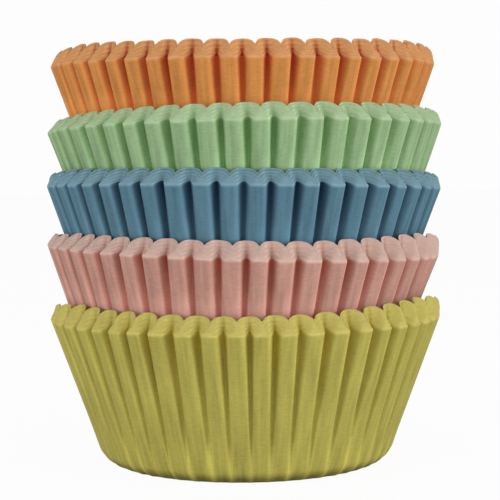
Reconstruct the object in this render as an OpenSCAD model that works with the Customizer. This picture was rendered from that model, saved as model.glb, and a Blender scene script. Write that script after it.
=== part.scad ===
/* [Bottom] */
// Diameter of the flat bottom of a liner
bottom_d = 48.2; // [40:0.2:60]
// Radius of the turn from the bottom up into the wall
turn_r = 5; // [2.2:0.1:7]

/* [Wall] */
// Lean of the wall away from upright, in degrees
wall_lean = 20.2; // [15:0.1:27]
// Length of the wall from the turn to the rim
wall_l = 26.4; // [20:0.2:36]

/* [Flutes] */
// Number of flutes round the wall
flute_count = 48; // [24:2:52]
// Depth of the flutes at the rim of the outermost liner
flute_depth = 2.1; // [1:0.1:3]
// How much deeper the flutes of each next liner inwards are
flute_gain = 0.04; // [0:0.01:0.12]
// Lean of the two sides of a flute, in degrees
flute_side = 23; // [10:1:26]
// Width of the floor between the two sides, on the outermost liner
flute_floor = 0.3; // [0.2:0.05:0.5]

/* [Paper] */
// Thickness of the paper
paper_t = 0.14; // [0.08:0.01:0.18]
// Air between one liner and the next inside it
paper_air = 0.185; // [0.06:0.005:0.2]
// Liners pressed together in the bundle of one colour
liner_count = 5; // [2:1:6]

/* [Tower] */
// Gap left where each bundle rests in the rim below it, from the bottom bundle up
seat_gap = [0, 0.7, 0.2, 0.05, 0.55]; // [0:0.05:0.8]
// How far each rim has slid to the right, from the bottom bundle up
slide_x = [0, -0.2, 0.1, 0.3, 0.1]; // [-1:0.1:1]
// How far each rim has slid to the back, from the bottom bundle up
slide_y = [0, 0, -0.2, -0.1, 0.4]; // [-1:0.1:1]
// Tilt of each bundle about the left to right axis, in degrees, from the bottom bundle up
tilt_x = [0, 0.2, -1.3, -1.6, 0.8]; // [-2:0.1:2]
// Tilt of each bundle about the front to back axis, in degrees, from the bottom bundle up
tilt_y = [0, 2.1, 0.8, -0.7, 0.1]; // [-2.5:0.1:2.5]
// Turn of each bundle about its own axis, in degrees, from the bottom bundle up
spin = [1.4, 0.8, 0, 0.8, 0.2]; // [-3.7:0.1:3.7]

/* [Hidden] */
COLOURS = ["yellow", "pink", "blue", "green", "orange"];
PAINT = [[0.78, 0.75, 0.32], [0.92, 0.68, 0.69], [0.4, 0.6, 0.74], [0.62, 0.8, 0.62], [0.9, 0.53, 0.26]];

// Facets of a full circle, four to a flute so that every flute is alike
$fn = 4 * flute_count;
// Straight steps in the turn from bottom to wall
turn_steps = 5;
// Angle through which the paper turns from bottom to wall
turn_a = 90 - wall_lean;
// Distance from one liner to the same face of the next
paper_step = paper_t + paper_air;
// How far a flute's side moves out for each millimetre that the paper moves in
side_spread = (1 - sin(flute_side)) / cos(flute_side);
// How far the cutting shapes run past what they cut
over = 3;
// A rim band wide enough to hold the deepest flute
rim_run = flute_depth + liner_count * flute_gain + over;

// A face of a liner is set by its inset: its distance in from the outermost face of the bundle.
function inset(k) = (k - 1) * paper_step;
function depth(k) = flute_depth + (k - 1) * flute_gain;

// Radius and height of a point in the turn, a degrees round from the flat bottom
function turn_point(inset, a) =
    [bottom_d / 2 + (turn_r - inset) * sin(a), turn_r - (turn_r - inset) * cos(a)];

// All liners are cut from one size of disc, so a tighter turn leaves a longer wall.
function wall_length(inset) = wall_l + inset * turn_a * PI / 180;
function wall_point(inset, l) = turn_point(inset, turn_a) + l * [sin(wall_lean), cos(wall_lean)];
function rim_point(inset) = wall_point(inset, wall_length(inset));

// A valley is as long as the wall and starts where it starts, so it leans less and ends higher.
function valley_swing(inset, depth) = asin(depth / wall_length(inset));
function rim_lean(inset, depth) = wall_lean - valley_swing(inset, depth) / 2;
function rim_inward(inset, depth) =
    let (a = rim_lean(inset, depth)) [-cos(a), sin(a)];

// Valley tops of the innermost liner, which carry the bundle above, and the rim that they stand in
inmost = inset(liner_count) + paper_t;
rim = rim_point(0);
seat = rim_point(inmost) + depth(liner_count) * rim_inward(inmost, depth(liner_count)) - [0, rim[1]];

// Lean of a bundle's axis to the right and back, as a slope
function axis_slope(i) = [tan(tilt_y[i]), -tan(tilt_x[i])];
function rim_place(i) = [slide_x[i], slide_y[i]];

// How far off centre bundle i stands in the rim below it when it is p above that rim
function off_centre(i, p) = norm(
    rim_place(i - 1) - rim_place(i) + seat[1] * axis_slope(i - 1) + (p - seat[1]) * axis_slope(i)
    - seat[0] * tan(wall_lean) * (axis_slope(i) - axis_slope(i - 1)));

// Height of a rim above the rim below, at which the wall clears the valley tops by the seat gap
function pitch_for(i, side_run) =
    seat[1] + (rim[0] - seat[0] + seat_gap[i] / cos(wall_lean) + side_run) / tan(wall_lean);
function pitch(i) = pitch_for(i, off_centre(i, pitch_for(i, off_centre(i, pitch_for(i, 0)))));
function rim_z(i) = i == 0 ? rim[1] : rim_z(i - 1) + pitch(i);

// The tower is centred over the origin by the outermost of its rims.
tower_middle = [max(slide_x) + min(slide_x), max(slide_y) + min(slide_y)] / 2;

// The solid inside one face of a liner, with the flutes cut in, to the rim or past it by top
module pressed_form(inset, depth, top) {
    rim_outer = wall_point(inset, wall_length(inset) + top);
    rim_inner = rim_outer + rim_run * rim_inward(inset, depth);
    difference() {
        rotate_extrude()
            polygon(concat(
                [[0, inset]],
                [for (i = [0:turn_steps]) turn_point(inset, turn_a * i / turn_steps)],
                [rim_outer, rim_inner, [0, rim_inner[1]]]
            ));
        for (i = [0:flute_count - 1])
            rotate([0, 0, i * 360 / flute_count])
                flute_cutter(inset, depth);
    }
}

// A long wedge with a flat floor, which leaves the wall at its foot and is deepest at the rim
module flute_cutter(inset, depth) {
    foot = turn_point(inset, turn_a);
    floor_half = flute_floor / 2 + inset * side_spread;
    reach = depth + over;
    mouth_half = floor_half + reach * tan(flute_side);
    translate([foot[0], 0, foot[1]])
        rotate([0, wall_lean - valley_swing(inset, depth), 0])
            linear_extrude(height = wall_length(inset) + 3 * over)
                polygon([[0, -floor_half], [reach, -mouth_half], [reach, mouth_half], [0, floor_half]]);
}

// Liner k of a bundle, counted from the outside in: one sheet of paper, standing on z = 0
module liner(k) {
    difference() {
        pressed_form(inset(k), depth(k), 0);
        pressed_form(inset(k) + paper_t, depth(k), over);
    }
}

// Puts its children where bundle i stands in the tower
module in_bundle(i) {
    translate([slide_x[i] - tower_middle[0], slide_y[i] - tower_middle[1], rim_z(i)])
        rotate([tilt_x[i], tilt_y[i], 0])
            translate([0, 0, -rim[1]])
                rotate([0, 0, spin[i] - 90])
                    children();
}

module yellow_liner(k) { color(PAINT[0]) in_bundle(0) liner(k); }
module pink_liner(k) { color(PAINT[1]) in_bundle(1) liner(k); }
module blue_liner(k) { color(PAINT[2]) in_bundle(2) liner(k); }
module green_liner(k) { color(PAINT[3]) in_bundle(3) liner(k); }
module orange_liner(k) { color(PAINT[4]) in_bundle(4) liner(k); }

for (k = [1:liner_count]) {
    yellow_liner(k);
    pink_liner(k);
    blue_liner(k);
    green_liner(k);
    orange_liner(k);
}
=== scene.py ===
# %% [markdown]
# # A tower of cupcake liners
#
# The object is five bundles of fluted paper baking cups, each bundle resting in the rim of the one
# below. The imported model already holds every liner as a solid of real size. This script dresses
# each of them in a finer sheet of paper, and lights the tower as a studio would.
#
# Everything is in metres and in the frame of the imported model: the tower stands on z = 0, the
# viewer of its front looks along +Y, and +X is to that viewer's right.

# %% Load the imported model
import math
import bpy
import numpy as np
from mathutils import Matrix, Vector


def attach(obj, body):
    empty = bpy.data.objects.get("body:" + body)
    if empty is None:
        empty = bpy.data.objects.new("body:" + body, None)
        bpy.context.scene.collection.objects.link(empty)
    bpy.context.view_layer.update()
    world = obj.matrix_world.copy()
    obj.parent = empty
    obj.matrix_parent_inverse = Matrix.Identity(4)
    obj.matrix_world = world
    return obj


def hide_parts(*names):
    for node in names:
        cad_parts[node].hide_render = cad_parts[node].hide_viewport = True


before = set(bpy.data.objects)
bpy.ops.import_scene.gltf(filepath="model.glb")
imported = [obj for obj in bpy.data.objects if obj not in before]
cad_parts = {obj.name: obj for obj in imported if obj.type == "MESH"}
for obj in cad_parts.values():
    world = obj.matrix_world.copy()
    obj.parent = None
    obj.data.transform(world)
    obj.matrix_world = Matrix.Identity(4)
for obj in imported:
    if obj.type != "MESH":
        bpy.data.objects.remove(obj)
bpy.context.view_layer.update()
print("nodes in the packed model:", len(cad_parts))

# %% [markdown]
# ## The sizes of one liner
#
# A liner starts as a round sheet of paper. A press folds its edge up into a wall that leans
# outwards, and gathers the spare paper into flutes. The sizes are those of the CAD source, so the
# dressed liners lie on the solids without any fitting.

# %% Sizes of a liner
MM = 0.001
FLAT_R = 24.1 * MM                  # radius of the flat bottom
TURN_R = 5.0 * MM                   # radius of the turn from bottom to wall, outside
LEAN = math.radians(20.2)           # lean of the wall away from upright
WALL = 26.4 * MM                    # length of the wall, outside
FLUTES = 48
FLUTE_DEPTH = 2.1 * MM              # depth at the rim of the outermost liner
FLUTE_GAIN = 0.04 * MM              # how much deeper in each next liner inwards
PAPER = 0.14 * MM
STEP = 0.325 * MM                   # from one liner to the next inside it
LINERS = 5
INMOST = (LINERS - 1) * STEP + PAPER
TURN_A = math.pi / 2 - LEAN         # angle through which the paper turns
RIM_Z = TURN_R * (1 - math.cos(TURN_A)) + WALL * math.cos(LEAN)
print("rim of a liner stands at %.2f mm" % (RIM_Z / MM))

# %% [markdown]
# ## The tower
#
# Real bundles never stand quite straight in each other. Each has its own small slide, tilt, turn
# and width, given here from the bottom bundle up. The heights of the rims are those of the CAD
# source, where each wall meets the flutes below it.

# %% Places of the five bundles
COLOURS = ["yellow", "pink", "blue", "green", "orange"]
RIM_HEIGHT = np.array([28.0497, 41.0593, 52.9746, 64.2406, 76.5811]) * MM
SLIDE_X = np.array([0.05, -0.25, 0.05, 0.3, 0.0]) * MM
SLIDE_Y = np.array([-0.1, -0.1, -0.3, -0.2, 0.3]) * MM
TILT_X = np.radians([0, -0.2, -1.7, -1.6, 0.95])
TILT_Y = np.radians([0, 2.1, 0.8, -0.7, 0.1])
SPIN = np.radians([1.4, 0.8, 0.0, 0.8, 0.2])
WIDTH = [0.997, 1.002, 1.006, 1.004, 0.978]   # as shares of the width of the solids


def stand_in_tower(points, b):
    """Scales points of a liner to its bundle's width, turns them about its axis, tilts them about
    the middle of the rim, first about X and then about Y, and moves the rim to its place."""
    place = (Matrix.Translation((SLIDE_X[b], SLIDE_Y[b], RIM_HEIGHT[b]))
             @ Matrix.Rotation(TILT_Y[b], 4, "Y") @ Matrix.Rotation(TILT_X[b], 4, "X")
             @ Matrix.Translation((0, 0, -RIM_Z))
             @ Matrix.Rotation(SPIN[b] - math.pi / 2, 4, "Z"))
    place = np.array(place)
    return (points * [WIDTH[b], WIDTH[b], 1]) @ place[:3, :3].T + place[:3, 3]


print("rims stand", ", ".join("%.1f" % d for d in np.diff(RIM_HEIGHT) / MM), "mm apart")

# %% [markdown]
# ## The flute across the paper
#
# Cut the wall level and look down on the cut. The outside shows broad flat ribs with narrow
# grooves between them. A groove is a ramp down from each rib to a narrow floor. Paper can't fold
# to a sharp corner, so both ends of the ramp are rounded with a short parabola.

# %% One groove across the paper
FLUTE_SIDE = math.radians(21.5)     # lean of a groove's two sides
FLUTE_FLOOR = 0.42 * MM             # width of its floor
ROUND_MOUTH = 0.30 * MM             # how softly a rib's edge turns into the groove
ROUND_FLOOR = 0.30 * MM
ROUND_MOST = 0.45                   # the largest share of a side that is rounded
RIB_CROWN = 0.07 * MM               # how far a rib falls away from its middle to its edges


def soft_ramp(x, e):
    """Zero below -e, x above e, and the parabola (x + e) squared over 4 e that joins them."""
    return np.where(x < -e, 0.0, np.where(x > e, x, (x + e) ** 2 / (4 * e)))


def groove_depth(u, depth, half):
    """Depth below the rib's face at u across from the middle of a groove: a ramp from the mouth to
    the floor with both its corners rounded, plus the rib's fall towards its edge."""
    floor = FLUTE_FLOOR / 2
    run = depth * math.tan(FLUTE_SIDE) + 1e-7
    x = (floor + run - u) / run
    ramp = (soft_ramp(x, np.minimum(ROUND_MOUTH / run, ROUND_MOST))
            - soft_ramp(x - 1, np.minimum(ROUND_FLOOR / run, ROUND_MOST)))
    across = np.clip((half - u) / (half - floor - run), 0, 1)
    return depth * ramp + RIB_CROWN * across ** 3 * (1 - ramp) * np.clip(depth / FLUTE_DEPTH, 0, 1)


mouth_width = FLUTE_FLOOR + 2 * FLUTE_DEPTH * math.tan(FLUTE_SIDE)
print("a groove is %.2f mm wide at its mouth" % (mouth_width / MM))

# %% [markdown]
# Each liner further in is the last one moved inwards by the same distance everywhere, so its
# grooves open into wide round lobes and its ribs shrink to narrow ridges. That is what a press
# does to a stack of sheets, and it makes the scalloped edge of a bundle.
#
# Moving a curve inwards by an equal distance is a dilation: roll a disc along it, and take the
# furthest point that the disc reaches. With numpy that is one maximum over a few offsets. Real
# lobes are a little squarer than a circle makes them, so the disc is a superellipse.

# %% The groove moved inwards
SAMPLES = 260                       # places from a groove to a rib where the curve is worked out
DISC = np.sin(np.linspace(-math.pi / 2, math.pi / 2, 73))     # offsets, closer at the disc's ends


def pressed_curve(inset, depth, half, square):
    """The groove's curve moved inwards by inset: the greatest, over a disc of that radius, of the
    curve's depth at each offset plus the disc's height there. One row for each given size. The disc
    is a superellipse: a circle where square is 2, and nearer to a square where it is more."""
    u = np.linspace(0, 1, SAMPLES) * half[:, None]
    reach, wide = inset[:, None, None] * DISC, half[:, None, None]
    at = np.abs((u[:, :, None] + reach + wide) % (2 * wide) - wide)
    lift = inset[:, None, None] * np.maximum(1 - np.abs(DISC) ** square, 0) ** (1 / square)
    y = (groove_depth(at, depth[:, None, None], wide) + lift).max(axis=2)
    return u, y - inset[:, None]


test_inset, test_depth = np.array([0.0, 1.3]) * MM, np.array([2.1, 2.5]) * MM
test_u, test_y = pressed_curve(test_inset, test_depth, np.array([2.4, 2.4]) * MM, 2)
print("a groove is half as deep at %.2f mm outside, a lobe at %.2f mm inside"
      % tuple(np.interp(-h / 2, -y, u) / MM for u, y, h in zip(test_u, test_y, test_depth)))

# %% [markdown]
# A mesh that follows this curve needs its columns where the curve bends. So each column takes an
# equal share of the curve's length, and a bend counts as extra length.

# %% Columns along the curve
BEND_COUNTS = 0.22 * MM             # the length that a bend of one radian counts for
BEND_BLUR = np.hanning(15) / np.hanning(15).sum()


def even_columns(u, y, count):
    """Picks count + 1 places along each curve, an equal share of its length apart, where a bend
    counts as extra length so that the corners keep their shape."""
    du, dy = np.diff(u, axis=1), np.diff(y, axis=1)
    bend = np.abs(np.diff(np.arctan2(dy, du), axis=1, prepend=0))
    bend = np.array([np.convolve(row, BEND_BLUR, "same") for row in bend])
    share = np.hypot(du, dy) + BEND_COUNTS * bend
    along = np.concatenate([np.zeros((len(u), 1)), np.cumsum(share, axis=1)], axis=1)
    want = np.linspace(0, 1, count + 1)
    pick = [(np.interp(want * a[-1], a, uu), np.interp(want * a[-1], a, yy))
            for a, uu, yy in zip(along, u, y)]
    return np.array([p[0] for p in pick]), np.array([p[1] for p in pick])


print("columns at", np.round(even_columns(test_u, test_y, 9)[0][0] / MM, 2), "mm from a groove")

# %% [markdown]
# ## The small faults of pressed paper
#
# Forty-eight perfect flutes look like moulded plastic. In paper the flutes are not evenly
# spaced, not equally deep, and they wander a little on their way down. The faults belong to
# the bundle and not to the liner, because its liners were pressed together, so every liner of a
# bundle gets the same ones and they still fit. Only the cut edge is each liner's own.
#
# A fault that goes smoothly all round is a sum of sines of the angle. It closes without a seam.
# The flutes at the front drift by up to 2.4 degrees, and those drifts are a plain list: from the
# eighth flute on the left of the front one to the eighth on its right, in degrees.

# %% Waves and drifts
FLUTE_DRIFT = {
    "yellow": [2.4, 2.2, 1.8, 1.0, 0.3, 0.3, 0.7, 0.4, 0.2,
               -0.3, -0.7, -0.8, -0.3, -0.2, -0.4, -0.9, -1.2],
    "pink": [1.0, 1.0, 0.8, 0.2, 0.0, 0.0, 0.2, 0.3, 0.2,
             -0.1, -0.4, -0.3, -0.2, -0.3, -0.3, 0.0, 0.6],
    "blue": [0.8, 0.8, 0.9, 1.1, 0.4, -0.1, 0.2, 0.0, 0.1,
             -0.1, -0.2, -0.4, -0.2, -0.6, -0.1, -0.1, 0.6],
    "green": [0.6, 1.2, 1.3, 1.0, 0.3, 0.6, 0.7, 0.4, 0.2,
              -0.1, -0.5, -0.4, -0.5, -0.2, -0.1, 0.4, 0.8],
    "orange": [2.0, 2.1, 2.1, 1.7, 1.7, 0.7, 0.7, 0.6, 0.2,
               -0.4, -0.8, -1.0, -1.1, -1.3, -1.2, -1.1, -0.8],
}
FADE_FLUTES = 3                     # flutes past the list over which the drift fades to none


def flute_drift(degrees):
    """Makes a function of the angle from the drifts of the flutes about the front, given from the
    left to the right: a straight line between flutes, and no drift all round the back."""
    step = 2 * math.pi / FLUTES
    n = len(degrees) // 2
    at = np.concatenate([[-n - FADE_FLUTES], np.arange(-n, n + 1), [n + FADE_FLUTES]]) * step
    value = np.concatenate([[0], np.radians(degrees), [0]])
    return lambda angle: np.interp((angle + math.pi) % (2 * math.pi) - math.pi, at, value)


def wave_sum(rng, size, low, high):
    """Makes a function of the angle: a sum of sines that go round low to high times, with random
    phases and sizes that fall as the root of their number, so that it is size tall on average."""
    m = np.arange(low, high + 1)
    a = rng.normal(size=len(m)) / np.sqrt(m)
    a *= size / math.sqrt((a ** 2).sum() / 2)
    phase = rng.uniform(0, 2 * math.pi, len(m))
    return lambda angle: (a * np.sin(m * angle[..., None] + phase)).sum(axis=-1)


print("largest drift: %.1f degrees" % max(max(np.abs(d)) for d in FLUTE_DRIFT.values()))

# %% [markdown]
# Some flutes start at the foot of the wall and some higher up, and under each start the paper
# keeps a thin ridge. The flutes at the two sides of the press come out shallower.

# %% Faults of one bundle
START_LOW, START_HIGH = -8.0 * MM, 6.5 * MM    # heights above the wall's foot where flutes start
UNEVEN = math.radians(0.12)         # how far the flutes stray from even spacing
WANDER = math.radians(0.35)         # how far they wander on their way down
SHALLOWER = 0.13                    # the share of its depth that a flute may lose by chance
SIDE_FLUTES = [8, 10, 13, 15]       # counted from the front one, where the depth is
SIDE_KEEP = [1, 0.42, 0.42, 1]      # these shares of the full depth
RIDGE = 0.13 * MM                   # height of the highest ridge
RIDGE_LEAST = 0.4                   # the lowest ridge, as a share of the highest
RIPPLE = 0.035 * MM                 # waves of the wall, in and out
# The edge's waves and nicks, and how much the painted highlight at the rim's corner varies along it
EDGE_WAVE, EDGE_NICK, CORNER_HIGHLIGHT_WAVE = 0.03 * MM, 0.02 * MM, 0.3


def bundle_faults(b):
    """All the irregularities of bundle b: drift and wander of the flutes in radians, the share of
    its depth that each flute keeps, the height where it starts, its ridge, the wall's ripple, and
    for each liner the waves and nicks of its edge and the waves of the painted highlight along it."""
    rng = np.random.default_rng(40 + b)
    from_front = np.minimum(np.arange(FLUTES), FLUTES - np.arange(FLUTES))
    at_side = np.interp(from_front, SIDE_FLUTES, SIDE_KEEP)
    return {
        "bundle": COLOURS[b],
        "drift": flute_drift(FLUTE_DRIFT[COLOURS[b]]),
        "spacing": wave_sum(rng, UNEVEN, 3, 44),
        "wander": wave_sum(rng, WANDER, 3, 30),
        "keep": (1 - SHALLOWER * rng.uniform(size=FLUTES) ** 2) * at_side,
        "start": rng.uniform(START_LOW, START_HIGH, FLUTES),
        "ridge": RIDGE * rng.uniform(RIDGE_LEAST, 1, FLUTES),
        "ripple": wave_sum(rng, RIPPLE, 5, 48),
        "ripple_low": wave_sum(rng, RIPPLE, 4, 40),
        "edge": [wave_sum(rng, EDGE_WAVE, 1, 6) for _ in range(LINERS)],
        "nick": [wave_sum(rng, EDGE_NICK, 20, 90) for _ in range(LINERS)],
        "light_paint": [wave_sum(rng, CORNER_HIGHLIGHT_WAVE, 5, 120) for _ in range(LINERS)],
    }


print("flute starts of the yellow bundle, above the wall's foot: %.1f to %.1f mm"
      % tuple(f(bundle_faults(0)["start"]) / MM for f in (np.min, np.max)))

# %% [markdown]
# ## The sheet on its way up
#
# Follow one line up the sheet: flat across the bottom, round the turn, then straight up the wall.
# On a groove the line swings inwards from just below the wall's foot. It keeps its length, so it
# leans less and ends higher, and the rim rises over each groove and dips at each rib.
#
# All of it is worked out on a grid: one row for each distance down from the rim, and one column
# for each place round the cup. First come the small functions that fade things in and out.

# %% Helpers on the grid
HALF = 9                            # columns from a groove to the next rib
COARSE = 2 * FLUTES                 # columns where no flute shows: one at each groove and rib
FADE = 8.0 * MM                     # the height over which a flute comes in
RIDGE_WIDE = 0.58 * MM
RIDGE_UP = 7 * MM                   # how far up the wall a ridge reaches
RIDGE_FOOT = 2.5 * MM               # the length over which it comes in at the flat bottom


def smooth(x):
    """Zero below 0, one above 1, and 3 x squared - 2 x cubed between them."""
    x = np.clip(x, 0, 1)
    return x * x * (3 - 2 * x)


def wall_length(inset):
    """All liners come from one size of disc, so a tighter turn leaves a longer wall."""
    return WALL + inset * TURN_A


def per_column(values):
    """Gives each column the value of the flute whose groove it is nearest to."""
    after = np.roll(values, -1, axis=0)
    return np.concatenate([np.repeat(values[:, None], HALF + 1, 1),
                           np.repeat(after[:, None], HALF - 1, 1)], axis=1).reshape(-1)


def started(up, faults):
    """How much of each column's flute has begun, at the given heights above the foot."""
    return smooth((up[:, None] - per_column(faults["start"]) + FADE / 2) / FADE) \
        * per_column(faults["keep"])


def ridges(u, up, faults):
    """The thin ridges under the flutes: a bell across, which fades up the wall and at the flat."""
    along = smooth(1 - up / RIDGE_UP) * smooth((up + TURN_R * TURN_A) / RIDGE_FOOT)
    return np.exp(-(u / RIDGE_WIDE) ** 2) * along[:, None] * per_column(faults["ridge"])


def by_side(pair, angle):
    """A pair of values for the left and the right: full there, and fading as the square of the
    sine of the angle towards the front and the back."""
    across = np.sin(angle)
    return np.where(across < 0, pair[0], pair[1]) * across ** 2


print("columns round a cup:", len(per_column(np.zeros(FLUTES))))

# %% [markdown]
# Now the flutes of a whole ring. The curve from a groove to a rib is worked out once for each row,
# mirrored for the other half of the flute, and repeated for all of them. Inner liners are pressed
# less sharply, so their lobes are wider and squarer than the outer ones explain.

# %% Flutes all round
LOOSE = {"yellow": 1.74, "pink": 1.66, "blue": 1.58, "green": 1.60, "orange": 1.56}
SQUARE = {"yellow": 2.3, "pink": 2.5, "blue": 2.3, "green": 2.4, "orange": 3.0}


def flutes_around(inset, depth, half, bundle):
    """For each column all round, one row for each given size: its angle, its share of the groove's
    depth, its distance from the middle of the groove, and -1 on the left of a rib, 1 on its right.
    The angle of a point is its flute's number plus its part of a flute, over all the flutes."""
    u, y = even_columns(*pressed_curve(inset * LOOSE[bundle], depth, half, SQUARE[bundle]), HALF)
    g = y / depth[:, None]
    part = u / half[:, None] / 2
    ones = np.ones_like(u)
    part, g, u, side = (np.concatenate([v, w[:, -2:0:-1]], axis=1)
                        for v, w in ((part, 1 - part), (g, g), (u, u), (-ones, ones)))
    flutes = np.arange(FLUTES)[None, :, None] + part[:, None, :]
    angle = (flutes * 2 * math.pi / FLUTES).reshape(len(half), -1)
    return (angle, *(np.tile(v, (1, FLUTES)) for v in (g, u, side)))


print("lobes are wider by:", LOOSE)

# %% [markdown]
# A bundle is also a little off centre in the press. On one side its liners lie closer together,
# and the walls of the inner ones come out longer. Its lobes are pushed up past their own length,
# and between them the ribs are bent down a little, more so in each next liner.

# %% The height of the rim
# How far lobes are pushed up past their own length, in mm, in the outermost and innermost liner
LOBE_LIFT = {"yellow": (-0.35, 0.55), "pink": (-0.4, 0.5), "blue": (0.05, 0.2),
             "green": (-0.2, 0.27), "orange": (-0.4, 0.58)}
NOTCH = 0.12 * MM                   # how much lower each next liner's ribs are
# How much closer the liners lie at the left and at the right, as a share of the inset
CLOSER = {"yellow": (0, 0.35), "pink": (0, 0.4), "blue": (0.1, 0.2),
          "green": (-0.4, 0.25), "orange": (-0.25, 0.25)}
# How much longer the innermost wall is at the left and at the right, in mm
LONGER = {"yellow": (1.3, 2.2), "pink": (-0.2, 2.25), "blue": (0.3, 0.6),
          "green": (-0.5, 0.2), "orange": (0.2, 0.8)}
NEAR_FROM, NEAR_FADE = -0.06, 0.42  # cosines of the angle over which that comes in
FAR_LOWER = 0.8                     # in mm, how much shorter the innermost is behind the sides
FAR_FROM, FAR_FADE = 0.38, 0.4      # how that comes in, by the cosine of the angle
RIM_REACH = 6 * MM                  # how far down from the rim all this fades away


def off_centre(bundle, angle):
    """How much longer the innermost wall is, in mm: by LONGER at the sides of the front half, and
    shorter by FAR_LOWER just behind the sides. Both fade as the square of the angle's sine."""
    near = smooth((np.cos(angle) - NEAR_FROM) / NEAR_FADE)
    far = 1 - smooth(FAR_FROM + np.cos(angle) / FAR_FADE)
    return by_side(LONGER[bundle], angle) * near - FAR_LOWER * far * np.sin(angle) ** 2


def raised(g, begun, angle, inset, down, k, faults):
    """How much further up each point of the wall lies than its flute alone explains: the lift of
    the lobes less the notch of the ribs, the longer side, and the cut edge's waves and nicks."""
    inwards = (inset / INMOST)[:, None]
    low, high = LOBE_LIFT[faults["bundle"]]
    lobes = ((low + (high - low) * inwards) * MM * g - k * NOTCH * (1 - g) ** 2) * begun
    lift = (lobes + off_centre(faults["bundle"], angle) * MM * inwards
            + faults["edge"][k](angle) + faults["nick"][k](angle))
    return lift * np.clip(1 - down / RIM_REACH, 0, 1)[:, None]


print("the pink bundle's inner wall is %.1f mm longer at 70 degrees to the right"
      % off_centre("pink", math.radians(70)))

# %% [markdown]
# Painted light: the ribs, the ridges and the rim's corner get painted highlights, and each rib
# is painted lighter towards its right edge, where the light falls from the right. A bundle is also
# painted lighter further down, to lift the shade where it sits in the one below. A single number
# for each point, how much painted light it gets, holds this.

# %% Painted light on the paper
RIB_LIGHT = {"yellow": 1.4, "pink": 1.8, "blue": 2.4, "green": 1.9, "orange": 1.6}
RIB_LIGHT_ACROSS = (-0.4, 0.8, 0.6)      # across a rib: constant, linear and squared parts
RIB_EDGE_HIGHLIGHT = (0.05, 0.25)            # painted highlight along a rib's left and right edge
EDGE_IN, EDGE_WIDE = 0.15 * MM, 0.3 * MM
ON_RIB = (0.65, 0.35)               # from this share of the groove's mouth, over this much more
RIB_LIGHT_UP = 1.6                       # the ribs' painted light is full from 1 / 1.6 of the way up the wall
# Painted light that lifts the shade low on a bundle, where it sits in the one below
SEAT_LIGHT = {"yellow": 0, "pink": 2.6, "blue": 2.0, "green": 2.9, "orange": 4.4}
SEAT_FROM, SEAT_FADE = 4.5 * MM, 7 * MM
# Painted highlight on the ridges under the flutes
RIDGE_HIGHLIGHT = 3.1
CORNER = 0.42 * MM                  # height of the painted highlight at the rim's corner
CORNER_HIGHLIGHT, CORNER_INNER = 0.7, 0.35     # how strong that highlight is, and the share of that on inner liners


def rib_light(u, mouth, half, side, light_strength):
    """How much painted light a wall gets: more towards each rib's right edge, where the light falls
    from the right. Across a rib it grows from its left edge to its right one as the given strength
    times -0.4 + 0.8 s + 0.6 s squared, and a bell of painted highlight lies along each edge."""
    s = np.clip((half - u) / (half - mouth), 0, 1) * side
    across = RIB_LIGHT_ACROSS[0] + RIB_LIGHT_ACROSS[1] * s + RIB_LIGHT_ACROSS[2] * s ** 2
    on_rib = smooth((u / mouth - ON_RIB[0]) / ON_RIB[1])
    bell = np.exp(-((u - mouth - EDGE_IN) / EDGE_WIDE) ** 2)
    return light_strength * across * on_rib + bell * np.where(side > 0, RIB_EDGE_HIGHLIGHT[1], RIB_EDGE_HIGHLIGHT[0])


def painted_light_wall(u, g, side, angle, depth, half, share, down, ridge, k, faults):
    """All the painted light of the wall: on its ribs, a painted highlight on its ridges, painted
    light that lifts the shade near its seat, and a painted highlight at the corner of its rim, a
    bell of the distance down where the greater of the two counts."""
    bundle = faults["bundle"]
    mouth = FLUTE_FLOOR / 2 + depth[:, None] * math.tan(FLUTE_SIDE)
    painted_light = rib_light(u, mouth, half[:, None], side, RIB_LIGHT[bundle]) * np.clip(RIB_LIGHT_UP * share, 0, 1) \
        + RIDGE_HIGHLIGHT * ridge / RIDGE \
        + SEAT_LIGHT[bundle] * smooth((down - SEAT_FROM) / SEAT_FADE)[:, None]
    corner = np.exp(-(down / CORNER) ** 2)[:, None] * (1 - g) * (1.0 if k == 0 else CORNER_INNER)
    return np.maximum(painted_light, corner * np.clip(CORNER_HIGHLIGHT + faults["light_paint"][k](angle), 0, 1))


# The print gives the painted light in the middle of a rib and at its right edge
print("wear in the middle of a rib: %.1f, at its right edge: %.1f"
      % (RIB_LIGHT_ACROSS[0], sum(RIB_LIGHT_ACROSS)))

# %% [markdown]
# These parts make the wall. A point's radius and height come from a lever: it starts a little
# below the wall's foot, leans by the wall's lean less the swing of its flute, and is as long as
# the paper. The groove gets a painted shade, its deep colour, which spreads from its middle and
# fades with depth, both as powers that differ from paper to paper.

# %% Rings of the wall
LEAD = 1.5 * MM                     # how far below the wall's foot the flutes begin
GROOVE_SHADE_ACROSS = {"yellow": 1, "pink": 0.9, "blue": 0.65, "green": 0.95, "orange": 0.85}
GROOVE_SHADE_DOWN = {"yellow": 1.7, "pink": 1.8, "blue": 0.9, "green": 1.3, "orange": 1.5}


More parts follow.
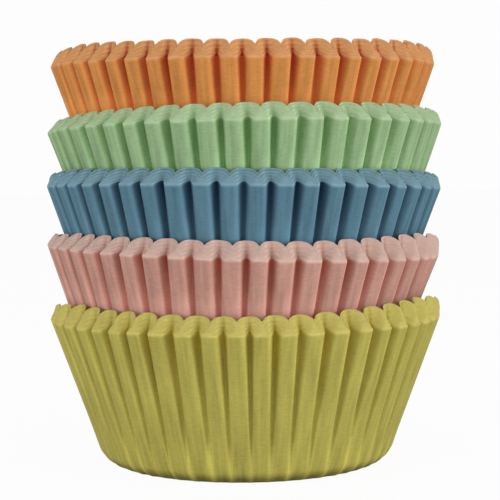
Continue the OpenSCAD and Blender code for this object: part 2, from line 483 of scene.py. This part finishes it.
def wall_rings(down, inset, k, faults):
    """Points of the wall at the given distances down from the rim, one row each. The sheet swings
    about a point LEAD below the foot of the wall, by its share of the flute's full swing. Besides
    radius, height and angle it gives how much painted groove shade each point gets, how much
    painted light, and how far across from the middle of a groove it is."""
    bundle = faults["bundle"]
    length = wall_length(inset)
    up = np.clip(length - down, 0, None)
    depth_rim = FLUTE_DEPTH + k * FLUTE_GAIN
    share = ((up + LEAD) / (length + LEAD))[:, None]
    depth = depth_rim * share[:, 0]
    half = (FLAT_R + TURN_R * math.sin(TURN_A) + up * math.sin(LEAN)) * math.pi / FLUTES
    angle, g, u, side = flutes_around(inset, depth, half, bundle)
    begun = started(up, faults)
    lean = LEAN - np.arcsin(depth_rim / (length + LEAD))[:, None] * g * begun
    reach = (up + LEAD)[:, None] + raised(g, begun, angle, inset, down, k, faults)
    ridge = ridges(u, up, faults)
    ripple = ridge + faults["ripple"](angle) * share \
        + faults["ripple_low"](angle) * np.sin(math.pi * share) \
        + by_side(CLOSER[bundle], angle) * inset[:, None]
    foot_r = FLAT_R + (TURN_R - inset) * math.sin(TURN_A) - LEAD * math.sin(LEAN)
    foot_z = TURN_R - (TURN_R - inset) * math.cos(TURN_A) - LEAD * math.cos(LEAN)
    r = foot_r[:, None] + reach * np.sin(lean) + ripple * math.cos(LEAN)
    z = foot_z[:, None] + reach * np.cos(lean) - ripple * math.sin(LEAN)
    painted_light = painted_light_wall(u, g, side, angle, depth, half, share, down, ridge, k, faults)
    # The painted shade deep in the groove, strongest at its middle and high on the wall
    groove_shade = g ** GROOVE_SHADE_ACROSS[bundle] * begun * share ** GROOVE_SHADE_DOWN[bundle]
    angle = angle + faults["drift"](angle) + faults["spacing"](angle) \
        + faults["wander"](angle) * (1 - share)
    return r, z, angle, groove_shade, painted_light, u


test_r, test_z = wall_rings(np.zeros(1), np.zeros(1), 0, bundle_faults(0))[:2]
print("rim of the yellow bundle: radius %.1f to %.1f mm, height %.1f to %.1f mm"
      % tuple(f(v) / MM for v in (test_r, test_z) for f in (np.min, np.max)))

# %% [markdown]
# Below the wall the sheet turns in to the bottom. A last trace of the flutes runs out along the
# turn, and the ridges end there.

# %% Rings of the turn
def turn_rings(turn, inset, k, faults, fine):
    """Points of the turn at the given shares of its angle. A last trace of the flutes fades out
    along it: the sheet moves towards the arc's centre by what is left of the flute's depth, less
    the ridge under the flute. Where it isn't fine there is one column at each groove and rib."""
    radius = TURN_R - inset
    a = TURN_A * turn
    up = (a - TURN_A) * radius
    length = wall_length(inset)
    depth = (FLUTE_DEPTH + k * FLUTE_GAIN) * np.clip(LEAD + up, 0, None) / (length + LEAD)
    foot = wall_rings(np.array([length]), np.array([inset]), k, faults)
    angle, foot_groove_shade, u = foot[2][0], foot[3][0], foot[5]
    # The flute's share of depth, worked back from the painted groove shade at the foot
    g = np.clip(foot_groove_shade / max(foot_groove_shade.max(), 1e-9), 0, 1) ** (1 / GROOVE_SHADE_ACROSS[faults["bundle"]])
    ridge = ridges(u, up, faults)
    inward = depth[:, None] * g - ridge
    if not fine:
        angle, inward, ridge = angle[::HALF], np.zeros((len(a), COARSE)), np.zeros((len(a), COARSE))
    angle = np.broadcast_to(angle, inward.shape)
    r = FLAT_R + (radius - inward) * np.sin(a)[:, None]
    z = TURN_R - (radius - inward) * np.cos(a)[:, None]
    # The ridges on the turn get their painted highlight here
    return r, z, angle, np.zeros_like(r), RIDGE_HIGHLIGHT * ridge / RIDGE, np.zeros_like(r)


print("the turn is %.1f mm long outside" % (TURN_R * TURN_A / MM))

# %% [markdown]
# ## One liner as a closed sheet
#
# The rings go from the middle of the bottom, out and up the outside, over the cut edge, and down
# the inside to the middle again. So the paper has two faces and an edge, and no hole anywhere.
# Where no flute shows, two columns to a flute are enough, and one many-sided face on each side
# of a small ring joins it to a fine one.

# %% Stitch rings into a mesh
def to_points(rings):
    """Radius, height and angle to x, y and z, for all rings at once."""
    r, z, angle = rings[:3]
    return np.stack([r * np.cos(angle), r * np.sin(angle), z], axis=-1)


def stitch(sizes):
    """Faces between rings of the given sizes, with a single point at either end. Equal rings give
    four-sided faces. Where the number changes, each side of the smaller ring takes one many-sided
    face that holds all the points of the larger one."""
    start = np.concatenate([[0], np.cumsum(sizes)])
    faces = []
    for i in range(len(sizes) - 1):
        a, b, n, m = start[i], start[i + 1], sizes[i], sizes[i + 1]
        if n == 1 or m == 1:
            j = np.arange(max(n, m))
            one = np.full(len(j), a if n == 1 else b)
            base = b if n == 1 else a
            pair = [base + (j + 1) % len(j), base + j]
            faces += np.stack([one] + pair if n == 1 else pair[::-1] + [one], 1).tolist()
        elif n == m:
            j = np.arange(n)
            k = (j + 1) % n
            faces += np.stack([a + j, a + k, b + k, b + j], 1).tolist()
        else:
            few, many, q = (a, b, m // n) if n < m else (b, a, n // m)
            j = np.arange(min(n, m))[:, None]
            row = (j * q + np.arange(q + 1)) % max(n, m)
            side = np.concatenate([few + j, few + (j + 1) % min(n, m)], 1)
            faces += np.concatenate([side, many + row[:, ::-1]] if n < m
                                    else [many + row, side[:, ::-1]], 1).tolist()
    return faces


print("a coarse ring and a fine one share", len(stitch([COARSE, COARSE * HALF])), "faces")

# %% [markdown]
# The groove's painted shade also runs up over the cut edges, as a streak that is narrower and
# weaker on each next liner inwards. On some bundles a painted shade line marks the gap between
# two liners.

# %% Painted shade streaks over the cut edges
# How much of the groove's painted shade colour the edges take, and how much darker they are painted
# there
SHADE_STREAK = {"yellow": (0.7, 0.6), "pink": (0.42, 1.0), "blue": (0.16, 0.8),
          "green": (0.2, 1.1), "orange": (0.75, 1.6)}
STREAK_FALL = [1.5, 1.2, 0.9, 0.65, 0.35]      # both from the outermost liner inwards
STREAK_WIDE = np.array([0.62, 0.5, 0.44, 0.4, 0.36]) * MM
# The painted shade line at each edge's inner corner, as less painted light, from the outermost
# inwards
SHADE_LINE = {"yellow": [0, 0, 0, 0, 0], "pink": [0, 0, 0, 0, 0], "blue": [0.6, 0.8, 1.2, 3.0, 0],
        "green": [0, 0, 0.4, 0.4, 0], "orange": [0.5, 0.5, 0.5, 0.8, 0]}


def shade_streak(b, k, across):
    """How much of the groove's painted shade liner k has near its rim, and how much darker it makes
    the paper, as bells across a groove."""
    bell = STREAK_FALL[k] * np.exp(-(across / STREAK_WIDE[k]) ** 2)
    shaded_dye, darker = SHADE_STREAK[COLOURS[b]]
    return np.minimum(shaded_dye * bell, 1), darker * bell


# The shares printed here are of the groove's painted shade colour
print("streaks on the yellow edges, as shares of the groove's colour:",
      [round(float(shade_streak(0, k, 0.0)[0]), 2) for k in range(LINERS)])

# %% [markdown]
# A real bundle of this height holds more and thinner liners than the model has solids, pressed so
# tightly that no air shows. Here each sheet grows thicker near its rim until it meets
# the next. Its edge is cut along the slope of the whole bundle, and slightly rounded, so that the
# five edges read as one band with fine lines in it.

# %% One face of a liner
DOWN_FINE = np.concatenate([np.linspace(1, 0.06, 14), [0.03, 0.014, 0.005, 0.0015, 0]])
DOWN_PLAIN = np.array([1, 0.55, 0.17, 0.06, 0.014, 0.0015, 0])     # shares of the wall's length
TURN_FINE = np.array([0, 0.15, 0.3, 0.45, 0.6, 0.72, 0.84, 0.93])
TURN_PLAIN = np.array([0, 0.35, 0.7])                              # shares of the turn's angle
BOTTOM = np.array([0.4, 0.97])                                     # shares of the flat's radius
THICKER_AT, THICKER_FADE = 1.12, 7  # extra thickness: 1.12 - 7 times the row, kept within 0 to 1
PAINTED_LIGHT_LEAST, PAINTED_LIGHT_MOST = -2, 4


def one_face(b, k, thick_rim, inside, fine, faults):
    """Rings of one face of liner k, from the bottom's middle up to the rim: inside is False for its
    outer face and True for its inner one, which lies the paper's thickness further in. Each ring
    has its points, how much painted groove shade they get, their distances from the rim, and how
    much painted light they get."""
    base_inset = k * STEP + (PAPER if inside else 0.0)
    rows = DOWN_FINE if fine else DOWN_PLAIN
    extra = thick_rim - PAPER if inside else 0.0
    inset = base_inset + extra * np.clip(THICKER_AT - rows * THICKER_FADE, 0, 1)
    down = rows * wall_length(inset)
    wall = wall_rings(down, inset, k, faults)
    turn_at = TURN_FINE if fine else TURN_PLAIN
    turn = turn_rings(turn_at, base_inset, k, faults, fine)
    flat_angle = turn[2][0] if not fine else turn[2][0][::HALF]
    far = wall_length(base_inset) + (1 - turn_at) * TURN_A * (TURN_R - base_inset)
    none, outermost = np.zeros(COARSE), np.full(COARSE, far[0])
    rings = [(np.zeros((1, 3)) + [0, 0, base_inset], np.zeros(1), far[:1], np.zeros(1))]
    for share in BOTTOM:
        p = to_points((np.full(COARSE, FLAT_R * share), np.full(COARSE, base_inset), flat_angle))
        rings.append((p, none, outermost, none))
    for part, distance in ((turn, far), (wall, down)):
        for p, shaded_dye, d, light_paint, across in zip(to_points(part), part[3], distance, part[4], part[5]):
            # Inside, the painted groove shade lies in the hollows behind the ribs and fades towards
            # the bottom; on the outer face of an inner liner it is the painted shade streak, which
            # also darkens the painted light
            if inside:
                shaded_dye = (1 - shaded_dye) * (shaded_dye.max() > 0) * (1 - d / wall_length(base_inset)) * fine
            elif k > 0:
                shaded_dye, darker = shade_streak(b, k, across)
                light_paint = light_paint - darker
            light_paint = np.clip(light_paint, PAINTED_LIGHT_LEAST, PAINTED_LIGHT_MOST) * (not inside)
            rings.append((p, np.clip(shaded_dye, 0, 1), np.full(len(p), d), light_paint))
    return rings, wall[5][-1]


print("rows up a fine wall: %d, up a plain one: %d" % (len(DOWN_FINE), len(DOWN_PLAIN)))

# %% [markdown]
# The lip closes the two faces at the rim. Its rings lie close to both corners, so that the smooth
# shading bends only there.

# %% The whole liner
LIP = ((0.07, 0.95), (0.5, 0.4), (0.93, 0.1))    # places across the edge, and how much of the corner's painted highlight each gets
LIP_INNER = 0.9                     # past this place lies the painted shade line
EDGE_ROUND = 0.015 * MM


def liner_mesh(b, k, thick_rim, show_outside, show_inside, faults):
    """The whole liner: rings of the outer face up, of the rounded edge over, of the inner face
    down. Three attributes go with each point: how much painted groove shade it gets, how far it is
    from the rim in mm, and how much painted light it gets, below zero for painted shade."""
    outer, across = one_face(b, k, thick_rim, False, show_outside, faults)
    inner, _ = one_face(b, k, thick_rim, True, show_inside, faults)
    up = outer[-1][0] - outer[-2][0]
    up /= np.linalg.norm(up, axis=1, keepdims=True)
    shaded_dye, darker = shade_streak(b, k, across)
    # The edge takes the painted light of the rim's corner, without the streak's painted shade,
    # which each lip ring takes again
    edge_light = outer[-1][3] + darker * (k > 0)
    lip = []
    for share, light_paint in LIP:
        p = outer[-1][0] * (1 - share) + inner[-1][0] * share + up * EDGE_ROUND
        # A painted shade line near the inner corner, for the gap to the next liner
        line = SHADE_LINE[COLOURS[b]][k] * (share > LIP_INNER)
        lip.append((p, shaded_dye, np.zeros(len(p)), edge_light * light_paint - darker - line))
    rings = outer + lip + inner[::-1]
    points = stand_in_tower(np.concatenate([r[0] for r in rings]), b)
    mesh = bpy.data.meshes.new(f"{COLOURS[b]}_paper_{k + 1}")
    mesh.from_pydata(points, [], stitch([len(r[0]) for r in rings]))
    for name, i, unit in (("groove_shade", 1, 1), ("from_rim", 2, MM), ("painted_light", 3, 1)):
        values = (np.concatenate([r[i] for r in rings]) / unit).astype(np.float32)
        mesh.attributes.new(name, "FLOAT", "POINT").data.foreach_set("value", values)
    mesh.polygons.foreach_set("use_smooth", np.ones(len(mesh.polygons), bool))
    mesh.update()
    return mesh


print("rings over the cut edge:", len(LIP))

# %% [markdown]
# ## Paper
#
# Dyed greaseproof paper is matt and close-grained. Seen near, its colour is a little uneven and
# its fibres lie mostly one way round the cup. The grooves get a painted shade, darker and deeper
# in colour, for the shade in a fold and the light that bounces off the dye several times there
# before it comes out. The ribs, ridges and rim's corner get painted highlights, and the turn at
# the foot a painted shade. The cut edge is a little paler, as the loose fibres there scatter more
# light.
#
# All five papers share these effects, so they are node groups, and each paper gives its own
# colours to them. A few helpers keep the lines that add a node short.

# %% Helpers for node groups
def new_group(name, inputs, outputs):
    """An empty shader node group with the given sockets, each a name with its kind."""
    group = bpy.data.node_groups.new(name, "ShaderNodeTree")
    for side, sockets in (("INPUT", inputs), ("OUTPUT", outputs)):
        for socket, kind in sockets:
            group.interface.new_socket(socket, in_out=side, socket_type="NodeSocket" + kind)
    return group, group.nodes.new("NodeGroupInput"), group.nodes.new("NodeGroupOutput")


def feed(tree, socket, value):
    """Links a socket to an input, or sets the input to a plain value."""
    if isinstance(value, bpy.types.NodeSocket):
        tree.links.new(value, socket)
    elif value is not None:
        socket.default_value = value


def math_node(tree, operation, *values, clamp=False):
    """A Math node of the given operation, with each input a number or a socket."""
    node = tree.nodes.new("ShaderNodeMath")
    node.operation, node.use_clamp = operation, clamp
    for i, value in enumerate(values):
        feed(tree, node.inputs[i], value)
    return node.outputs[0]


def vector_node(tree, operation, *values):
    """A Vector Math node of the given operation, with each input a vector or a socket."""
    node = tree.nodes.new("ShaderNodeVectorMath")
    node.operation = operation
    for i, value in enumerate(values):
        feed(tree, node.inputs[i], value)
    return node.outputs[0]


def mix_colour(tree, share, a, b, blend="MIX"):
    """A Mix node for colours, from a to b by share."""
    node = tree.nodes.new("ShaderNodeMix")
    node.data_type, node.blend_type = "RGBA", blend
    for socket, value in ((node.inputs["Factor"], share), (node.inputs[6], a), (node.inputs[7], b)):
        feed(tree, socket, value)
    return node.outputs[2]


def noise(tree, vector, scale, detail, rough):
    """A Noise texture at scale features a metre, stretched by the vector that it is given."""
    node = tree.nodes.new("ShaderNodeTexNoise")
    for socket, value in (("Vector", vector), ("Scale", scale), ("Detail", detail),
                          ("Roughness", rough)):
        feed(tree, node.inputs[socket], value)
    return node.outputs["Fac"]


print("helpers ready in Blender", bpy.app.version_string)

# %% [markdown]
# The first group is the grain. Three noises make it: fine fibres, drawn out level round the cup, a
# soft cloudiness where the dye took unevenly, and upright marks where the press drew the paper up.
# The marks must follow the leaning wall. So their noise reads the direction of a point from the
# axis, which is the same all the way up, and only a little of its height.

# %% The grain
FIBRE_SCALE, FIBRE_FLAT = 900, 4.5  # features a metre, and how much flatter than wide they are
CLOUD_SCALE = 140
MARK_SCALE, MARK_TALL = 950, 0.1    # of these, a tenth as many up the wall as round it
ROUND_R = 0.035                     # a middling radius of the wall, to turn directions into metres
grain, g_in, g_out = new_group("Paper grain", [("Place", "Vector")],
                               [("Fibres", "Float"), ("Cloud", "Float"), ("Marks", "Float")])
place = g_in.outputs["Place"]
level = vector_node(grain, "MULTIPLY", place, (1, 1, FIBRE_FLAT))
outwards = vector_node(grain, "NORMALIZE", vector_node(grain, "MULTIPLY", place, (1, 1, 0)))
climb = vector_node(grain, "MULTIPLY", place, (0, 0, MARK_TALL))
upright = vector_node(grain, "MULTIPLY_ADD", outwards, (ROUND_R, ROUND_R, 0), climb)
for output, value in (("Fibres", noise(grain, level, FIBRE_SCALE, 4, 0.65)),
                      ("Cloud", noise(grain, place, CLOUD_SCALE, 3, 0.55)),
                      ("Marks", noise(grain, upright, MARK_SCALE, 2, 0.6))):
    grain.links.new(value, g_out.inputs[output])
print("grain group:", len(grain.nodes), "nodes")

# %% [markdown]
# The second group is the dye with the painted light and shade. It reads the three numbers that
# each point of the mesh carries: the painted groove shade leads from the paper's colour to the
# deep one, the distance from the rim leads to the edge's colour and to a painted shade on the turn
# at the foot, and the painted light makes it paler or darker. Each noise then makes it a little
# lighter or darker.

# %% The dye and its painted light
GROOVE_SHADE_POWER = 1.35                   # how late the painted groove shade comes in
CLOUD_CONTRAST, FIBRE_CONTRAST, MARK_CONTRAST = 0.16, 0.44, 0.75
MARKS_DOWN_TO, MARKS_FADE = 32, 4   # in mm from the rim: the flat bottom has no marks
MARKS_OFF_EDGE = 2.0                # nor has the cut edge: they come in at this much a mm
# How much lighter the paper is painted for each unit of painted light
PAINTED_LIGHT_GAIN = 0.16
FOOT_SHADE, FOOT_FROM, FOOT_FADE = 0.52, 27.4, 1.7      # painted shade on the turn, which faces down: the share, and in mm from the rim
EDGE_FADE = 2.2                     # how fast the edge's colour is lost, a mm
ROUGH, ROUGH_FIBRES = 0.78, 0.3
dye_and_painted_light, d_in, d_out = new_group(
    "Dye and painted light",
    [("Paper", "Color"), ("Deep", "Color"), ("Edge", "Color"), ("Groove shade", "Float"),
     ("From rim", "Float"), ("Painted light", "Float"), ("Fibres", "Float"), ("Cloud", "Float"),
     ("Marks", "Float")],
    [("Color", "Color"), ("Roughness", "Float")])
given = d_in.outputs
cloud, speck, mark = (math_node(dye_and_painted_light, "SUBTRACT", given[name], 0.5)
                      for name in ("Cloud", "Fibres", "Marks"))
on_wall = math_node(dye_and_painted_light, "MULTIPLY_ADD", given["From rim"], -1 / MARKS_FADE,
                    MARKS_DOWN_TO / MARKS_FADE, clamp=True)
off_edge = math_node(dye_and_painted_light, "MULTIPLY", given["From rim"], MARKS_OFF_EDGE, clamp=True)
mark = math_node(dye_and_painted_light, "MULTIPLY", mark, math_node(dye_and_painted_light, "MINIMUM", on_wall, off_edge))
# A painted shade on the turn at the foot, which faces down
foot = math_node(dye_and_painted_light, "MULTIPLY_ADD", given["From rim"], 1 / FOOT_FADE, -FOOT_FROM / FOOT_FADE,
                 clamp=True)
tone = math_node(dye_and_painted_light, "MULTIPLY_ADD", cloud, CLOUD_CONTRAST, 1.0)
for amount, contrast in ((speck, FIBRE_CONTRAST), (mark, MARK_CONTRAST),
                         (given["Painted light"], PAINTED_LIGHT_GAIN), (foot, -FOOT_SHADE)):
    tone = math_node(dye_and_painted_light, "MULTIPLY_ADD", amount, contrast, tone)
edge = math_node(dye_and_painted_light, "MULTIPLY_ADD", given["From rim"], -EDGE_FADE, 1.0, clamp=True)
# The painted groove shade, from the paper's colour to its deep one
groove_shade = math_node(dye_and_painted_light, "POWER", given["Groove shade"], GROOVE_SHADE_POWER)
colour = mix_colour(dye_and_painted_light, edge, given["Paper"], given["Edge"])
colour = mix_colour(dye_and_painted_light, groove_shade, colour, given["Deep"])
grey = dye_and_painted_light.nodes.new("ShaderNodeCombineColor")
for channel in range(3):
    dye_and_painted_light.links.new(tone, grey.inputs[channel])
dye_and_painted_light.links.new(mix_colour(dye_and_painted_light, 1.0, colour, grey.outputs[0], "MULTIPLY"), d_out.inputs["Color"])
dye_and_painted_light.links.new(math_node(dye_and_painted_light, "MULTIPLY_ADD", speck, ROUGH_FIBRES, ROUGH), d_out.inputs["Roughness"])
print("node groups:", [g.name for g in bpy.data.node_groups])

# %% [markdown]
# Each paper has three colours. The painted shade deep in a groove is darker and far stronger in
# colour than the plain paper, and the cut edge is a little paler. Uncoated paper hardly shines, so
# the gloss and the sheen are close to none, and the fibres give a faint bump.

# %% Colours of the papers
# For each: the plain paper, the painted shade deep in a groove, and the cut edge.
PAPERS = {
    "yellow": ((0.505, 0.45, 0.105), (0.40, 0.285, 0.02), (0.645, 0.565, 0.155)),
    "pink": ((0.60, 0.325, 0.265), (0.42, 0.055, 0.02), (0.73, 0.505, 0.425)),
    "blue": ((0.113, 0.232, 0.305), (0.001, 0.016, 0.058), (0.225, 0.378, 0.46)),
    "green": ((0.335, 0.50, 0.26), (0.175, 0.37, 0.11), (0.455, 0.62, 0.36)),
    "orange": ((0.715, 0.29, 0.08), (0.53, 0.032, 0.012), (0.75, 0.36, 0.145)),
}
GLOSS, SHEEN = 0.04, 0.03
BUMP_STRENGTH, BUMP_HEIGHT = 0.35, 0.04 * MM


def paper_material(name, paper, deep, edge_colour):
    """Matt paper: the two groups feed its colour with painted light and shade, its roughness and
    a faint bump.
    """
    material = bpy.data.materials.new(f"{name}_paper")
    material.use_nodes = True
    tree = material.node_tree
    shader = tree.nodes["Principled BSDF"]
    shader.inputs["Specular IOR Level"].default_value = GLOSS
    shader.inputs["Sheen Weight"].default_value = SHEEN
    grained, shaded_dye = (tree.nodes.new("ShaderNodeGroup") for _ in range(2))
    grained.node_tree, shaded_dye.node_tree = grain, dye_and_painted_light
    point = tree.nodes.new("ShaderNodeTexCoord").outputs["Object"]
    tree.links.new(point, grained.inputs["Place"])
    for socket, value in (("Paper", paper), ("Deep", deep), ("Edge", edge_colour)):
        shaded_dye.inputs[socket].default_value = (*value, 1)
    for socket, attribute in (("Groove shade", "groove_shade"), ("From rim", "from_rim"), ("Painted light", "painted_light")):
        node = tree.nodes.new("ShaderNodeAttribute")
        node.attribute_name = attribute
        tree.links.new(node.outputs["Fac"], shaded_dye.inputs[socket])
    for socket in ("Fibres", "Cloud", "Marks"):
        tree.links.new(grained.outputs[socket], shaded_dye.inputs[socket])
    tree.links.new(shaded_dye.outputs["Color"], shader.inputs["Base Color"])
    tree.links.new(shaded_dye.outputs["Roughness"], shader.inputs["Roughness"])
    bump = tree.nodes.new("ShaderNodeBump")
    bump.inputs["Strength"].default_value = BUMP_STRENGTH
    bump.inputs["Distance"].default_value = BUMP_HEIGHT
    tree.links.new(grained.outputs["Fibres"], bump.inputs["Height"])
    tree.links.new(bump.outputs[0], shader.inputs["Normal"])
    return material


print("papers:", ", ".join(PAPERS))

# %% [markdown]
# ## All the liners
#
# One loop makes them. The outside shows only on the outermost liner of a bundle, and the inside
# only on the innermost of the top one, so those faces get many rings. The others get few, at a
# price: near its foot the coarse face of a liner can cross its other face, most of all in
# orange_liner_5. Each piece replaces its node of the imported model.

# %% Dress every node
# How thick each sheet is at its rim, in mm, from the outermost inwards
RIM_PAPER = {
    "yellow": [0.323, 0.322, 0.323, 0.322, 0.14],
    "pink": [0.323, 0.323, 0.322, 0.322, 0.14],
    "blue": [0.308, 0.308, 0.298, 0.300, 0.14],
    "green": [0.322, 0.323, 0.321, 0.322, 0.14],
    "orange": [0.321, 0.319, 0.322, 0.321, 0.14],
}
triangles = 0
for b, colour_name in enumerate(COLOURS):
    finish = paper_material(colour_name, *PAPERS[colour_name])
    faults = bundle_faults(b)
    for k in range(LINERS):
        top = colour_name == "orange" and k == LINERS - 1
        mesh = liner_mesh(b, k, RIM_PAPER[colour_name][k] * MM, k == 0, top, faults)
        piece = bpy.data.objects.new(mesh.name, mesh)
        bpy.context.scene.collection.objects.link(piece)
        mesh.materials.append(finish)
        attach(piece, "root")
        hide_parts(f"{colour_name}_liner_{k + 1}")
        triangles += sum(p.loop_total - 2 for p in mesh.polygons)
print("liners dressed: %d, triangles %d" % (len(COLOURS) * LINERS, triangles))

# %% [markdown]
# ## The studio
#
# A pale floor runs off to a white world. The camera sees both as white, and so do glossy rays,
# while the light that reaches the paper stays at a plain level. The floor keeps the tower's
# shadow, because not all of its white is lit from within.

# %% Floor
FLOOR_SIZE, FLOOR_GREY, FLOOR_GLOW = 6.0, 0.8, 0.965


def white_for_camera(tree):
    """A number that is 1 for rays from the camera or off gloss or through glass, else 0."""
    path = tree.nodes.new("ShaderNodeLightPath")
    seen = math_node(tree, "MAXIMUM", path.outputs["Is Camera Ray"], path.outputs["Is Glossy Ray"])
    return math_node(tree, "MAXIMUM", seen, path.outputs["Is Transmission Ray"])


floor_mesh = bpy.data.meshes.new("floor")
corner = np.array([[-1, -1, 0], [1, -1, 0], [1, 1, 0], [-1, 1, 0]]) * FLOOR_SIZE / 2
floor_mesh.from_pydata(corner, [], [(0, 1, 2, 3)])
floor = bpy.data.objects.new("floor", floor_mesh)
bpy.context.scene.collection.objects.link(floor)
floor_material = bpy.data.materials.new("pale_floor")
floor_material.use_nodes = True
tree = floor_material.node_tree
matt = tree.nodes["Principled BSDF"]
matt.inputs["Base Color"].default_value = (FLOOR_GREY, FLOOR_GREY, FLOOR_GREY, 1)
matt.inputs["Roughness"].default_value = 0.9
glow = tree.nodes.new("ShaderNodeEmission")
glow.inputs["Strength"].default_value = 1.0
blend = tree.nodes.new("ShaderNodeMixShader")
tree.links.new(math_node(tree, "MULTIPLY", white_for_camera(tree), FLOOR_GLOW), blend.inputs[0])
tree.links.new(matt.outputs[0], blend.inputs[1])
tree.links.new(glow.outputs[0], blend.inputs[2])
tree.links.new(blend.outputs[0], tree.nodes["Material Output"].inputs["Surface"])
floor_mesh.materials.append(floor_material)
print("floor: %.0f m across" % FLOOR_SIZE)

# %% World
WORLD_LIGHT, WORLD_GREY = 0.27, 0.985
world = bpy.data.worlds.new("studio")
bpy.context.scene.world = world
world.use_nodes = True
tree = world.node_tree
sky = tree.nodes["Background"]
strength = math_node(tree, "MULTIPLY_ADD", white_for_camera(tree), 1 - WORLD_LIGHT, WORLD_LIGHT)
sky.inputs["Color"].default_value = (WORLD_GREY, WORLD_GREY, WORLD_GREY, 1)
tree.links.new(strength, sky.inputs["Strength"])
print("the world lights the paper at %.2f of what the camera sees" % WORLD_LIGHT)

# %% [markdown]
# Two soft lights low at the sides make the ribs stand out and leave the grooves dark, as in the
# photo. A weak one in front opens the foot, and one above lights the rims.

# %% Lights
def soft_light(name, place, aim, size, power):
    """A square area light of the given side at place, turned to shine on aim."""
    data = bpy.data.lights.new(name, "AREA")
    data.shape, data.size, data.energy = "SQUARE", size, power
    lamp = bpy.data.objects.new(name, data)
    lamp.location = place
    lamp.rotation_euler = (Vector(aim) - Vector(place)).to_track_quat("-Z", "Y").to_euler()
    bpy.context.scene.collection.objects.link(lamp)
    return lamp


lamps = [soft_light("right", (0.66, -0.37, 0.12), (0, 0, 0.04), 0.45, 2.65),
         soft_light("left", (-0.66, -0.37, 0.1), (0, 0, 0.04), 0.45, 2.15),
         soft_light("front", (0.1, -0.75, 0.1), (0, 0, 0.03), 0.18, 0.6),
         soft_light("top", (0.0, -0.15, 0.8), (0, 0, 0.05), 0.5, 1.5)]
print("lights: %.1f W in all" % sum(lamp.data.energy for lamp in lamps))

# %% [markdown]
# ## The camera
#
# It stands about 30 cm in front of the tower, a little above its middle, and looks slightly down.
# It is rolled by less than a degree, as the photographer's was.

# %% Camera
CAMERA_PLACE = (1.14 * MM, -302.0 * MM, 57.45 * MM)
CAMERA_DOWN, CAMERA_ROLL = math.radians(3.138), math.radians(0.559)
camera_data = bpy.data.cameras.new("camera")
camera_data.lens, camera_data.sensor_width = 111.24, 36
camera_data.clip_start, camera_data.clip_end = 0.01, 20
camera = bpy.data.objects.new("camera", camera_data)
camera.matrix_world = (Matrix.Translation(CAMERA_PLACE)
                       @ Matrix.Rotation(math.pi / 2 - CAMERA_DOWN, 4, "X")
                       @ Matrix.Rotation(-CAMERA_ROLL, 4, "Z"))
bpy.context.scene.collection.objects.link(camera)
bpy.context.scene.camera = camera
bpy.context.scene.view_settings.view_transform = "Standard"
print("camera: %.0f mm lens, %.1f degrees down" % (camera_data.lens, math.degrees(CAMERA_DOWN)))
